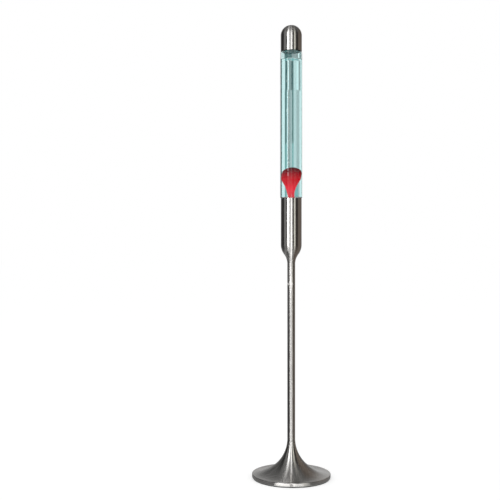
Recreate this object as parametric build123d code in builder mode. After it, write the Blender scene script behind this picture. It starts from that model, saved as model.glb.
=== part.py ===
from build123d import *
from math import acos, asin, atan, cos, degrees, pi, radians, sin, sqrt
import os

os.makedirs("parts", exist_ok=True)

# Driving dimensions of the lamp, in millimetres.
# The origin is on the floor under the stem, +Z is up and the cord leaves the foot towards +Y.
foot_radius = 113.5
stem_radius = 11.3
stem_length = 511.0
cup_radius = 30.0
cup_length = 190.5
glass_overhang = 1.5
glass_showing = 424.5
cap_step = 1.0
cap_length = 76.0

# Walls and clearances
spun_wall = 1.2
tube_wall = 1.2
cap_wall = 1.0
glass_wall = 3.0
thread_gap = 0.05
slip_gap = 0.1
curve_gap = 0.25
hole_gap = 0.5

# Foot: pad, plate, and a spun trumpet whose outline is a quarter circle standing on a short rim
pad_thickness = 2.5
pad_inset = 2.5
plate_thickness = 2.0
plate_inset = 0.5
rim_top = 13.0
rim_edge_radius = 1.2
seam_drop = 7.0
seam_bevel = 0.2
plate_top = pad_thickness + plate_thickness
trumpet_radius = foot_radius - rim_edge_radius - stem_radius
trumpet_centre = (foot_radius - rim_edge_radius, rim_top + trumpet_radius)
foot_seam = trumpet_centre[1] - seam_drop

# Ballast and the screws that hold the plate to it
weight_inset = 21.5
weight_top = 62.0
weight_gap = 0.8
recess_radius = 25.0
recess_height = 24.5
plate_screw_circle = 70.0
plate_screw_count = 3
plate_screw_turn = -90.0
plate_screw_radius = 2.0
plate_screw_head = 3.8
plate_screw_grip = 9.0

# Threaded tubes, nuts and bushes that clamp foot, stem and cup together
rod_radius = 5.0
rod_bore = 4.0
nut_across_flats = 14.0
nut_thickness = 4.0
washer_radius = 14.0
washer_thickness = 2.0
rod_end = 2.0
insert_spigot = 8.0
insert_length = 20.0
throat_gap = 0.5

# Cord inlet in the back of the rim, for a flat two-core cord
cord_width = 5.2
cord_height = 3.2
cord_gap = 0.4
inlet_width = 7.4
inlet_height = 6.4
inlet_flange = 1.4
inlet_flange_depth = 1.8
inlet_depth = 3.7
inlet_face_inset = 0.3
channel_width = 8.0
channel_height = 7.0

# Terminal block in the ballast's pocket, and the lead from it up to the lampholder
block_width = 17.0
block_length = 22.0
block_height = 13.0
block_start = 30.0
block_wire_radius = 1.6
pocket_gap = 2.0
lead_radius = 2.1
lead_bend = 12.0

# Cup: a straight tube that an ogee draws in to the stem's size
ogee_height = 56.0
mouth_round = 0.4
cone_low = 10.0
cone_high = 22.0

# Lampholder for a small screw bulb, on a threaded nipple
holder_start = 28.0
holder_collar_radius = 7.5
holder_collar_height = 4.0
holder_radius = 13.8
holder_cone_height = 4.0
holder_cap_height = 17.0
holder_wall = 2.0
holder_floor = 8.0
holder_step = 5.0
holder_skirt_radius = 13.0
holder_skirt_height = 34.0
socket_radius = 8.2
sleeve_wall = 0.6
sleeve_length = 20.0
sleeve_mouth = 2.0
contact_width = 4.0
contact_thickness = 0.5
contact_reach = 5.0

# Reflector bulb with a small screw cap
bulb_shell_radius = 6.9
bulb_tip_radius = 2.4
bulb_tip_height = 3.5
bulb_shell_top = 19.0
bulb_neck_radius = 7.4
bulb_neck_top = 26.0
bulb_radius = 19.5
bulb_flare_height = 20.0
bulb_band = 1.5
bulb_wall = 0.8
bulb_shell_wall = 0.4

# Seat ring round the cup's mouth
seat_wall = 1.0
seat_flange = 0.8
seat_skirt = 8.0
seat_overlap = 0.9

# Bottle: its lower end is drawn in to drop into the cup, its upper end to a screw neck
spigot_gap = 0.5
spigot_length = 36.0
base_thickness = 4.0
base_round = 4.0
heel_round = 2.5
shoulder_round = 10.0
neck_radius = 13.0
neck_fillet = 4.0
neck_length = 15.0
lip_round = 1.0
cap_edge_gap = 0.5
air_gap = 23.0

# Wax: a balloon on a narrow stalk, drawn as arcs that run into each other from its top down
wax_top = 88.0
wax_crown_radius = 26.0
wax_crown_turn = 35.0
wax_belly = 21.7
wax_band = 10.0
wax_taper_radius = 33.0
wax_taper_turn = 27.0
wax_stalk = 7.2
wax_flare_radius = 10.0
wax_flare_turn = 70.0
wax_pool_slope = 2.0

# Coil of spring wire that lies on the bottle's base
coil_ring_radius = 17.0
coil_radius = 3.0
coil_flat = 0.3

# Closure of the bottle, the ring that centres the dome cap on it and the cap's own edge
closure_wall = 0.6
closure_skirt = 13.0
closure_gap = 0.4
seal_thickness = 1.0
seal_inset = 0.3
liner_plate = 2.0
liner_wall = 1.5
liner_skirt = 12.0
liner_bore = 9.0
liner_gap = 0.4
cap_edge_round = 0.35

# Radii and heights that follow from the sizes above
glass_radius = cup_radius + glass_overhang
cap_radius = glass_radius - cap_step
cup_seam = foot_seam + stem_length
cup_top = cup_seam + cup_length
seat_height = cup_top + seat_flange
cap_edge = cup_top + glass_showing
cap_top = cap_edge + cap_length
dome_start = cap_top - cap_radius
weight_radius = foot_radius - weight_inset
recess_top = plate_top + recess_height
washer_bottom = recess_top - washer_thickness
nut_bottom = washer_bottom - nut_thickness
rod_bottom = nut_bottom - rod_end
insert_bottom = foot_seam - insert_spigot
throat_top = insert_bottom - throat_gap
holder_bottom = cup_seam + holder_start
holder_joint = holder_bottom + holder_cap_height
holder_mouth = holder_joint + holder_skirt_height
socket_floor = holder_joint + holder_floor
bulb_tip = socket_floor + contact_reach
cavity_floor = holder_bottom + holder_collar_height + holder_wall


def polar_angle_at_height(centre, radius, height):
    """Angle, in degrees, of the arc's point left of its centre at a height."""
    return 180 + degrees(asin((centre[1] - height) / radius))


def polar_angle_at_reach(centre, radius, reach):
    """Angle, in degrees, of the arc's point below its centre at a distance from the lamp's axis."""
    return 180 + degrees(acos((centre[0] - reach) / radius))


def ogee(low, high, inset=0.0):
    """Two equal arcs from low, tangent to upright, out and up to high, set in towards the axis."""
    half_turn = atan((high[0] - low[0]) / (high[1] - low[1]))
    turn = 2 * half_turn
    radius = (high[1] - low[1]) / (2 * sin(turn))
    lower = CenterArc((low[0] + radius, low[1]), radius + inset, 180, -degrees(turn))
    upper = CenterArc((high[0] - radius, high[1]), radius - inset, -degrees(turn), degrees(turn))
    return lower, upper


def ogee_foot_radius(low, high):
    """Radius of the two arcs of the ogee between low and high."""
    half_turn = atan((high[0] - low[0]) / (high[1] - low[1]))
    return (high[1] - low[1]) / (2 * sin(2 * half_turn))


# Foot pad: a disc of black foam rubber that the lamp stands on
with BuildPart() as foot_pad:
    with BuildSketch(Plane.XY):
        Circle(foot_radius - pad_inset)
    extrude(amount=pad_thickness)

# Base plate: steel disc that closes the foot, screwed up into the ballast from below
with BuildPart() as base_plate:
    with BuildSketch(Plane.XY.offset(pad_thickness)):
        Circle(foot_radius - plate_inset)
    extrude(amount=plate_thickness)
    with Locations(Plane((0, 0, pad_thickness), x_dir=(1, 0, 0), z_dir=(0, 0, -1))):
        with PolarLocations(plate_screw_circle, plate_screw_count, -plate_screw_turn):
            CounterSinkHole(
                radius=plate_screw_radius + slip_gap,
                counter_sink_radius=plate_screw_head + slip_gap,
                depth=plate_thickness,
                counter_sink_angle=90,
            )

# Base plate screws: three countersunk machine screws
with BuildPart() as base_plate_screws:
    with BuildSketch(Plane.XZ):
        with BuildLine():
            Polyline(
                (0, pad_thickness),
                (plate_screw_head, pad_thickness),
                (plate_screw_radius, pad_thickness + plate_screw_head - plate_screw_radius),
                (plate_screw_radius, plate_top + plate_screw_grip),
                (0, plate_top + plate_screw_grip),
                close=True,
            )
        make_face()
    screw = revolve(axis=Axis.Z, mode=Mode.PRIVATE)
    with PolarLocations(plate_screw_circle, plate_screw_count, plate_screw_turn):
        add(screw)

# Ballast: cast-iron disc under the trumpet, with a recess for the nut, the terminal block and the cord
weight_arc = trumpet_radius + spun_wall + weight_gap
weight_first = polar_angle_at_reach(trumpet_centre, weight_arc, weight_radius)
weight_last = polar_angle_at_height(trumpet_centre, weight_arc, weight_top)
with BuildPart() as foot_weight:
    with BuildSketch(Plane.XZ):
        with BuildLine():
            crown = CenterArc(trumpet_centre, weight_arc, weight_first, weight_last - weight_first)
            Polyline(
                crown @ 1,
                (rod_radius + hole_gap, weight_top),
                (rod_radius + hole_gap, plate_top),
                (weight_radius, plate_top),
                crown @ 0,
            )
        make_face()
    revolve(axis=Axis.Z)
    with BuildSketch(Plane.XY.offset(plate_top)):
        Circle(recess_radius)
    extrude(amount=recess_height, mode=Mode.SUBTRACT)
    pocket_end = block_start + block_length + pocket_gap
    with BuildSketch(Plane.XY.offset(plate_top)):
        with Locations((0, pocket_end / 2)):
            Rectangle(block_width + 2 * pocket_gap, pocket_end)
    extrude(amount=block_height + pocket_gap, mode=Mode.SUBTRACT)
    with BuildSketch(Plane.XY.offset(plate_top)):
        with Locations((0, weight_radius / 2)):
            Rectangle(channel_width, weight_radius + 2 * pocket_gap)
    extrude(amount=channel_height, mode=Mode.SUBTRACT)
    with BuildSketch(Plane.XY.offset(plate_top)):
        with PolarLocations(plate_screw_circle, plate_screw_count, plate_screw_turn):
            Circle(plate_screw_radius + thread_gap)
    extrude(amount=plate_screw_grip + hole_gap, mode=Mode.SUBTRACT)

# Foot shell: spun stainless steel trumpet with a turned-down rim, notched at the back for the cord
shell_seam_angle = polar_angle_at_height(trumpet_centre, trumpet_radius, foot_seam)
shell_inner_radius = trumpet_radius + spun_wall
shell_inner_angle = polar_angle_at_height(trumpet_centre, shell_inner_radius, foot_seam)
with BuildPart() as foot_shell:
    with BuildSketch(Plane.XZ):
        with BuildLine():
            outside = CenterArc(trumpet_centre, trumpet_radius, 270, shell_seam_angle - 270)
            inside = CenterArc(trumpet_centre, shell_inner_radius, 270, shell_inner_angle - 270)
            Line(outside @ 1, inside @ 1)
            edge_centre = (foot_radius - rim_edge_radius, rim_top - rim_edge_radius)
            edge = CenterArc(edge_centre, rim_edge_radius, 90, -90)
            Polyline(
                edge @ 1,
                (foot_radius, plate_top),
                (foot_radius - spun_wall, plate_top),
                (foot_radius - spun_wall, rim_top - spun_wall),
                inside @ 0,
            )
        make_face()
    revolve(axis=Axis.Z)
    with BuildSketch(Plane.XZ.offset(-foot_radius)):
        with Locations((0, plate_top + inlet_height / 2)):
            Rectangle(inlet_width + 2 * slip_gap, inlet_height + 2 * slip_gap)
    extrude(amount=2 * inlet_depth, mode=Mode.SUBTRACT)
    seam_edges = foot_shell.edges().filter_by(GeomType.CIRCLE).group_by(Axis.Z)[-1]
    chamfer(seam_edges.sort_by(SortBy.RADIUS)[-1], seam_bevel)

# Cord inlet: rubber bush held in the notch by a flange inside the rim
inlet_middle = plate_top + inlet_height / 2
inlet_face = foot_radius - inlet_face_inset
with BuildPart() as cord_inlet:
    with BuildSketch(Plane.XZ.offset(-inlet_face)):
        with Locations((0, inlet_middle)):
            Rectangle(inlet_width, inlet_height)
    extrude(amount=inlet_depth)
    flange_face = foot_radius - spun_wall - curve_gap
    with BuildSketch(Plane.XZ.offset(-flange_face)):
        with Locations((0, plate_top + (inlet_height + slip_gap) / 2)):
            Rectangle(inlet_width + 2 * inlet_flange, inlet_height + slip_gap)
    extrude(amount=inlet_flange_depth)
    with BuildSketch(Plane.XZ.offset(-inlet_face)):
        with Locations((0, inlet_middle)):
            SlotOverall(cord_width + cord_gap, cord_height + cord_gap)
    extrude(amount=inlet_depth, mode=Mode.SUBTRACT)

# Throat bush: turned steel cone on the ballast that centres the trumpet's throat
throat_arc = trumpet_radius + spun_wall + curve_gap
throat_first = polar_angle_at_height(trumpet_centre, throat_arc, weight_top)
throat_last = polar_angle_at_height(trumpet_centre, throat_arc, throat_top)
with BuildPart() as throat_bush:
    with BuildSketch(Plane.XZ):
        with BuildLine():
            flank = CenterArc(trumpet_centre, throat_arc, throat_first, throat_last - throat_first)
            Polyline(
                flank @ 1,
                (rod_radius + hole_gap, throat_top),
                (rod_radius + hole_gap, weight_top),
                flank @ 0,
            )
        make_face()
    revolve(axis=Axis.Z)

# Clamp rod: threaded tube from the nut under the ballast up into the stem's lower insert
rod_top = insert_bottom + insert_spigot + insert_length - rod_end
with BuildPart() as clamp_rod:
    with BuildSketch(Plane.XY.offset(rod_bottom)):
        Circle(rod_radius)
        Circle(rod_bore, mode=Mode.SUBTRACT)
    extrude(amount=rod_top - rod_bottom)

# Clamp washer and clamp nut, in the ballast's recess
with BuildPart() as clamp_washer:
    with BuildSketch(Plane.XY.offset(washer_bottom)):
        Circle(washer_radius)
        Circle(rod_radius + hole_gap, mode=Mode.SUBTRACT)
    extrude(amount=washer_thickness)

with BuildPart() as clamp_nut:
    with BuildSketch(Plane.XY.offset(nut_bottom)):
        RegularPolygon(nut_across_flats / 2, 6, major_radius=False)
        Circle(rod_radius + thread_gap, mode=Mode.SUBTRACT)
    extrude(amount=nut_thickness)

# Terminal block: moulded two-pole block between the cord and the internal lead, bored for wires and screws
with BuildPart() as terminal_block:
    with BuildSketch(Plane.XY.offset(plate_top)):
        with Locations((0, block_start + block_length / 2)):
            Rectangle(block_width, block_length)
    extrude(amount=block_height)
    with BuildSketch(Plane.XY.offset(plate_top + block_height)):
        with Locations((0, block_start + block_length / 2)):
            with GridLocations(block_width / 2, block_length / 2, 2, 2):
                Circle(plate_screw_radius)
    extrude(amount=-block_height / 2, mode=Mode.SUBTRACT)
    with BuildSketch(Plane.XZ.offset(-block_start)):
        with Locations((0, plate_top + block_height / 2)):
            with GridLocations(block_width / 2, 0, 2, 1):
                Circle(block_wire_radius)
    extrude(amount=-block_length, mode=Mode.SUBTRACT)

# Stem: drawn stainless steel tube standing on the trumpet's upper edge, with both ends' rims bevelled
with BuildPart() as stem_tube:
    with BuildSketch(Plane.XY.offset(foot_seam)):
        Circle(stem_radius)
        Circle(stem_radius - tube_wall, mode=Mode.SUBTRACT)
    extrude(amount=stem_length)
    chamfer(stem_tube.edges().filter_by(GeomType.CIRCLE).group_by(SortBy.RADIUS)[-1], seam_bevel)

# Stem inserts: turned brass bushes in both ends of the stem, each with a spigot into its neighbour
insert_radius = stem_radius - tube_wall - slip_gap
with BuildPart() as stem_insert_lower:
    with BuildSketch(Plane.XY.offset(insert_bottom)):
        Circle(insert_radius)
        Circle(rod_radius + thread_gap, mode=Mode.SUBTRACT)
    extrude(amount=insert_spigot + insert_length)

with BuildPart() as stem_insert_upper:
    with BuildSketch(Plane.XY.offset(cup_seam - insert_length)):
        Circle(insert_radius)
        Circle(rod_radius + thread_gap, mode=Mode.SUBTRACT)
    extrude(amount=insert_spigot + insert_length)

# Cup: spun stainless steel, an ogee from the stem's size up to a straight wall with a plain mouth
cup_low = (stem_radius, cup_seam)
cup_high = (cup_radius, cup_seam + ogee_height)
with BuildPart() as cup_shell:
    with BuildSketch(Plane.XZ):
        with BuildLine():
            outer_low, outer_high = ogee(cup_low, cup_high)
            inner_low, inner_high = ogee(cup_low, cup_high, spun_wall)
            Line(outer_low @ 0, inner_low @ 0)
            Polyline(
                outer_high @ 1,
                (cup_radius, cup_top),
                (cup_radius - spun_wall, cup_top),
                inner_high @ 1,
            )
        make_face()
    revolve(axis=Axis.Z)
    fillet(cup_shell.edges().group_by(Axis.Z)[-1], mouth_round)
    seam_edges = cup_shell.edges().filter_by(GeomType.CIRCLE).group_by(Axis.Z)[0]
    chamfer(seam_edges.sort_by(SortBy.RADIUS)[-1], seam_bevel)

# Cup clamp cone: turned bush that fits the cup's funnel and is pulled down by the nut on it
cup_arc = ogee_foot_radius(cup_low, cup_high)
cone_centre = (stem_radius + cup_arc, cup_seam)
cone_arc = cup_arc + spun_wall + curve_gap
cone_first = degrees(asin(cone_low / cone_arc))
cone_last = degrees(asin(cone_high / cone_arc))
with BuildPart() as cup_clamp_cone:
    with BuildSketch(Plane.XZ):
        with BuildLine():
            flank = CenterArc(cone_centre, cone_arc, 180 - cone_first, cone_first - cone_last)
            Polyline(
                flank @ 1,
                (rod_radius + hole_gap, cup_seam + cone_high),
                (rod_radius + hole_gap, cup_seam + cone_low),
                flank @ 0,
            )
        make_face()
    revolve(axis=Axis.Z)

with BuildPart() as cup_clamp_nut:
    with BuildSketch(Plane.XY.offset(cup_seam + cone_high)):
        RegularPolygon(nut_across_flats / 2, 6, major_radius=False)
        Circle(rod_radius + thread_gap, mode=Mode.SUBTRACT)
    extrude(amount=nut_thickness)

# Holder nipple: short threaded tube from the upper insert through the cone into the lampholder
nipple_bottom = cup_seam - insert_length + rod_end
with BuildPart() as holder_nipple:
    with BuildSketch(Plane.XY.offset(nipple_bottom)):
        Circle(rod_radius)
        Circle(rod_bore, mode=Mode.SUBTRACT)
    extrude(amount=cavity_floor - nipple_bottom)

# Lampholder: moulded cap screwed on the nipple, and the body that screws into the cap
cone_top = holder_bottom + holder_collar_height + holder_cone_height
with BuildPart() as lampholder_cap:
    with BuildSketch(Plane.XZ):
        with BuildLine():
            Polyline(
                (rod_radius + thread_gap, holder_bottom),
                (holder_collar_radius, holder_bottom),
                (holder_collar_radius, holder_bottom + holder_collar_height),
                (holder_radius, cone_top),
                (holder_radius, holder_joint),
                (holder_radius - holder_wall, holder_joint),
                (holder_radius - holder_wall, cone_top + holder_wall / 2),
                (holder_collar_radius, cavity_floor),
                (rod_radius + thread_gap, cavity_floor),
                close=True,
            )
        make_face()
    revolve(axis=Axis.Z)

with BuildPart() as lampholder_body:
    with BuildSketch(Plane.XZ):
        with BuildLine():
            Polyline(
                (lead_radius + slip_gap, holder_joint),
                (holder_radius, holder_joint),
                (holder_radius, holder_joint + holder_step),
                (holder_skirt_radius, holder_joint + holder_step),
                (holder_skirt_radius, holder_mouth),
                (socket_radius, holder_mouth),
                (socket_radius, socket_floor),
                (lead_radius + slip_gap, socket_floor),
                close=True,
            )
        make_face()
    revolve(axis=Axis.Z)

# Socket sleeve and centre contact: the two live brass parts inside the lampholder
sleeve_radius = socket_radius - slip_gap
with BuildPart() as socket_sleeve:
    with BuildSketch(Plane.XY.offset(holder_mouth - sleeve_mouth - sleeve_length)):
        Circle(sleeve_radius)
        Circle(sleeve_radius - sleeve_wall, mode=Mode.SUBTRACT)
    extrude(amount=sleeve_length)

contact_foot = socket_radius - holder_wall
with BuildPart() as centre_contact:
    with BuildSketch(Plane.XZ):
        with BuildLine():
            Polyline(
                (-contact_foot, socket_floor),
                (contact_width, socket_floor),
                (contact_width, socket_floor + contact_thickness),
                (-contact_width, socket_floor + contact_thickness),
                (-contact_width / 2, bulb_tip - contact_thickness),
                (bulb_tip_radius, bulb_tip - contact_thickness),
                (bulb_tip_radius, bulb_tip),
                (-contact_width / 2 - contact_thickness, bulb_tip),
                (-contact_foot, socket_floor + contact_thickness),
                close=True,
            )
        make_face()
    extrude(amount=contact_width / 2, both=True)

# Internal lead: sheathed two-core cable from the terminal block up the stem to the lampholder
lead_height = plate_top + block_height / 2
with BuildPart() as internal_lead:
    with BuildLine():
        route = FilletPolyline(
            (0, block_start, lead_height),
            (0, 0, lead_height),
            (0, 0, socket_floor),
            radius=lead_bend,
        )
    with BuildSketch(Plane(origin=route @ 0, z_dir=route % 0)):
        Circle(lead_radius)
    sweep()

# Bulb: screw shell, contact tip and a blown reflector envelope
with BuildPart() as bulb_shell:
    with BuildSketch(Plane.XY.offset(bulb_tip + bulb_tip_height)):
        Circle(bulb_shell_radius)
    extrude(amount=bulb_shell_top - bulb_tip_height)
    with BuildSketch(Plane.XY.offset(bulb_tip + bulb_shell_top)):
        Circle(bulb_shell_radius - bulb_shell_wall)
    extrude(amount=bulb_tip_height + bulb_shell_wall - bulb_shell_top, mode=Mode.SUBTRACT)

with BuildPart() as bulb_contact:
    with BuildSketch(Plane.XZ):
        with BuildLine():
            Polyline(
                (0, bulb_tip),
                (bulb_tip_radius, bulb_tip),
                (bulb_shell_radius - bulb_shell_wall, bulb_tip + bulb_tip_height),
                (0, bulb_tip + bulb_tip_height),
                close=True,
            )
        make_face()
    revolve(axis=Axis.Z)

flare_low = (bulb_neck_radius, bulb_tip + bulb_neck_top)
flare_high = (bulb_radius, bulb_tip + bulb_neck_top + bulb_flare_height)
bulb_dome = (0, flare_high[1] + bulb_band)
with BuildPart() as bulb_envelope:
    with BuildSketch(Plane.XZ):
        with BuildLine():
            outer_low, outer_high = ogee(flare_low, flare_high)
            inner_low, inner_high = ogee(flare_low, flare_high, bulb_wall)
            outer_dome = CenterArc(bulb_dome, bulb_radius, 0, 90)
            inner_dome = CenterArc(bulb_dome, bulb_radius - bulb_wall, 0, 90)
            Line(outer_high @ 1, outer_dome @ 0)
            Line(inner_high @ 1, inner_dome @ 0)
            Line(outer_dome @ 1, inner_dome @ 1)
            Polyline(
                outer_low @ 0,
                (bulb_neck_radius, bulb_tip + bulb_shell_top),
                (bulb_neck_radius - bulb_wall, bulb_tip + bulb_shell_top),
                inner_low @ 0,
            )
        make_face()
    revolve(axis=Axis.Z)

# Seat ring: silicone ring round the cup's mouth that the bottle rests on
seat_outer = cup_radius - spun_wall - thread_gap
seat_inner = seat_outer - seat_wall
with BuildPart() as cup_seat_ring:
    with BuildSketch(Plane.XZ):
        with BuildLine():
            Polyline(
                (seat_inner, cup_top - seat_skirt),
                (seat_outer, cup_top - seat_skirt),
                (seat_outer, cup_top),
                (seat_outer + seat_overlap, cup_top),
                (seat_outer + seat_overlap, seat_height),
                (seat_inner, seat_height),
                close=True,
            )
        make_face()
    revolve(axis=Axis.Z)

# Bottle: blown clear glass, drawn in below to a spigot and above to a screw neck with a round lip
spigot_radius = seat_inner - spigot_gap
spigot_bore = spigot_radius - glass_wall
glass_bore = glass_radius - glass_wall
bottle_bottom = seat_height - spigot_length
bottle_floor = bottle_bottom + base_thickness
inner_round = base_round - glass_wall / 2
shoulder_centre_radius = glass_radius - shoulder_round
cap_bore = cap_radius - cap_wall
shoulder_rise = sqrt(shoulder_round**2 - (cap_bore - shoulder_centre_radius) ** 2)
shoulder_height = cap_edge - cap_edge_gap - shoulder_rise
neck_start = shoulder_height + shoulder_round
neck_centre = (neck_radius + neck_fillet, neck_start + neck_fillet)
neck_top = neck_start + neck_fillet + neck_length
step_round = (glass_bore - spigot_bore) / 2
step_middle = seat_height + glass_wall
with BuildPart() as bottle_glass:
    with BuildSketch(Plane.XZ):
        with BuildLine():
            base_centre = (spigot_radius - base_round, bottle_bottom + base_round)
            base_arc = CenterArc(base_centre, base_round, 270, 90)
            heel_centre = (glass_radius - heel_round, seat_height + heel_round)
            heel_arc = CenterArc(heel_centre, heel_round, 270, 90)
            shoulder_centre = (shoulder_centre_radius, shoulder_height)
            shoulder_arc = CenterArc(shoulder_centre, shoulder_round, 0, 90)
            neck_arc = CenterArc(neck_centre, neck_fillet, 270, -90)
            Line((0, bottle_bottom), base_arc @ 0)
            Polyline(base_arc @ 1, (spigot_radius, seat_height), heel_arc @ 0)
            Line(heel_arc @ 1, shoulder_arc @ 0)
            Line(shoulder_arc @ 1, neck_arc @ 0)
            bore_neck_arc = CenterArc(neck_centre, neck_fillet + glass_wall, 180, 90)
            bore_shoulder_arc = CenterArc(shoulder_centre, shoulder_round - glass_wall, 90, -90)
            step_high_centre = (glass_bore - step_round, step_middle + step_round)
            step_high = CenterArc(step_high_centre, step_round, 0, -90)
            step_low_centre = (spigot_bore + step_round, step_middle - step_round)
            step_low = CenterArc(step_low_centre, step_round, 90, 90)
            floor_centre = (spigot_bore - inner_round, bottle_floor + inner_round)
            floor_arc = CenterArc(floor_centre, inner_round, 0, -90)
            Polyline(
                neck_arc @ 1,
                (neck_radius, neck_top),
                (neck_radius - glass_wall, neck_top),
                bore_neck_arc @ 0,
            )
            Line(bore_neck_arc @ 1, bore_shoulder_arc @ 0)
            Line(bore_shoulder_arc @ 1, step_high @ 0)
            Line(step_low @ 1, floor_arc @ 0)
            Polyline(floor_arc @ 1, (0, bottle_floor), (0, bottle_bottom))
        make_face()
    revolve(axis=Axis.Z)
    fillet(bottle_glass.edges().group_by(Axis.Z)[-1], lip_round)

# Base coil: ring of coiled spring wire on the bottle's base, which breaks up the molten wax
with BuildPart() as base_coil:
    with BuildSketch(Plane.XZ):
        with Locations((coil_ring_radius, bottle_floor + coil_radius - coil_flat)):
            Circle(coil_radius)
        with Locations((coil_ring_radius, bottle_floor - coil_radius / 2)):
            Rectangle(2 * coil_radius, coil_radius, mode=Mode.SUBTRACT)
    revolve(axis=Axis.Z)

# Wax: a pool round the coil, and the balloon that rises from it on a narrow stalk
pool_radius = spigot_bore - thread_gap
pool_round = inner_round + thread_gap
crown_sine = sin(radians(wax_crown_turn))
wax_shoulder_radius = (wax_belly - wax_crown_radius * crown_sine) / (1 - crown_sine)
taper_share = 1 - cos(radians(wax_taper_turn))
wax_stalk_arc = (wax_belly - wax_stalk) / taper_share - wax_taper_radius


def wax_outline():
    """The wax's side, from its top on the lamp's axis down to the pool's edge on the glass."""
    crown = JernArc((0, seat_height + wax_top), (1, 0), wax_crown_radius, -wax_crown_turn)
    shoulder = JernArc(crown @ 1, crown % 1, wax_shoulder_radius, wax_crown_turn - 90)
    band = Line(shoulder @ 1, (wax_belly, (shoulder @ 1).Y - wax_band))
    taper = JernArc(band @ 1, (0, -1), wax_taper_radius, -wax_taper_turn)
    stalk = JernArc(taper @ 1, taper % 1, wax_stalk_arc, wax_taper_turn)
    flare = JernArc(stalk @ 1, (0, -1), wax_flare_radius, wax_flare_turn)
    pool = Line(flare @ 1, (pool_radius, (flare @ 1).Y - wax_pool_slope))
    return crown @ 0, pool @ 1


with BuildPart() as wax_body:
    with BuildSketch(Plane.XZ):
        with BuildLine():
            wax_tip, pool_edge = wax_outline()
            pool_centre = (pool_radius - pool_round, bottle_floor + pool_round)
            pool_arc = CenterArc(pool_centre, pool_round, 0, -90)
            Line(pool_edge, pool_arc @ 0)
            Polyline(pool_arc @ 1, (0, bottle_floor), wax_tip)
        make_face()
    revolve(axis=Axis.Z)
    add(base_coil.part, mode=Mode.SUBTRACT)

# Liquid: fills the bottle round the wax up to an air gap under the shoulder
liquid_top = cap_edge - air_gap
liquid_radius = glass_bore - thread_gap
with BuildPart() as lamp_liquid:
    with BuildSketch(Plane.XZ):
        with BuildLine():
            wax_tip, pool_edge = wax_outline()
            rise_centre = (liquid_radius - step_round, step_middle + step_round)
            rise = CenterArc(rise_centre, step_round, 0, -90)
            fall_centre = (pool_radius + step_round, step_middle - step_round)
            fall = CenterArc(fall_centre, step_round, 90, 90)
            Line(fall @ 1, pool_edge)
            Polyline(wax_tip, (0, liquid_top), (liquid_radius, liquid_top), rise @ 0)
        make_face()
    revolve(axis=Axis.Z)

# Closure: drawn tin screw cap on the bottle's neck, over a soft sealing disc
closure_bore = neck_radius + closure_gap
closure_inside = neck_top + seal_thickness
closure_top = closure_inside + closure_wall
with BuildPart() as closure_seal:
    with BuildSketch(Plane.XY.offset(neck_top)):
        Circle(closure_bore - seal_inset)
    extrude(amount=seal_thickness)

with BuildPart() as bottle_closure:
    with BuildSketch(Plane.XY.offset(closure_top - closure_skirt)):
        Circle(closure_bore + closure_wall)
    extrude(amount=closure_skirt)
    with BuildSketch(Plane.XY.offset(closure_inside)):
        Circle(closure_bore)
    extrude(amount=-closure_skirt, mode=Mode.SUBTRACT)
    fillet(bottle_closure.edges().group_by(Axis.Z)[-1], closure_wall)

# Cap liner: moulded ring in the dome cap that rests on the closure and centres on its skirt
liner_outer = cap_bore - slip_gap
liner_socket = closure_bore + closure_wall + liner_gap
with BuildPart() as cap_liner:
    with BuildSketch(Plane.XZ):
        with BuildLine():
            Polyline(
                (liner_bore, closure_top),
                (liner_socket, closure_top),
                (liner_socket, closure_top - liner_skirt),
                (liner_socket + liner_wall, closure_top - liner_skirt),
                (liner_socket + liner_wall, closure_top),
                (liner_outer - liner_wall, closure_top),
                (liner_outer - liner_wall, closure_top - liner_skirt),
                (liner_outer, closure_top - liner_skirt),
                (liner_outer, closure_top + liner_plate),
                (liner_bore, closure_top + liner_plate),
                close=True,
            )
        make_face()
    revolve(axis=Axis.Z)

# Dome cap: spun stainless steel, a straight skirt under a half sphere, lifted off by hand
with BuildPart() as dome_cap:
    with BuildSketch(Plane.XZ):
        with BuildLine():
            outer_dome = CenterArc((0, dome_start), cap_radius, 0, 90)
            inner_dome = CenterArc((0, dome_start), cap_bore, 0, 90)
            Line(outer_dome @ 1, inner_dome @ 1)
            Polyline(outer_dome @ 0, (cap_radius, cap_edge), (cap_bore, cap_edge), inner_dome @ 0)
        make_face()
    revolve(axis=Axis.Z)
    fillet(dome_cap.edges().group_by(Axis.Z)[0], cap_edge_round)

lead_length = route.length
lead_volume = internal_lead.part.volume
print(f"lamp height {cap_top:.1f} mm, foot diameter {2 * foot_radius:.1f} mm")
print(f"lead length {lead_length:.1f} mm, bend {lead_bend} mm")
print(f"lead volume over section times length {lead_volume / (pi * lead_radius**2 * lead_length):.4f}")

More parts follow.
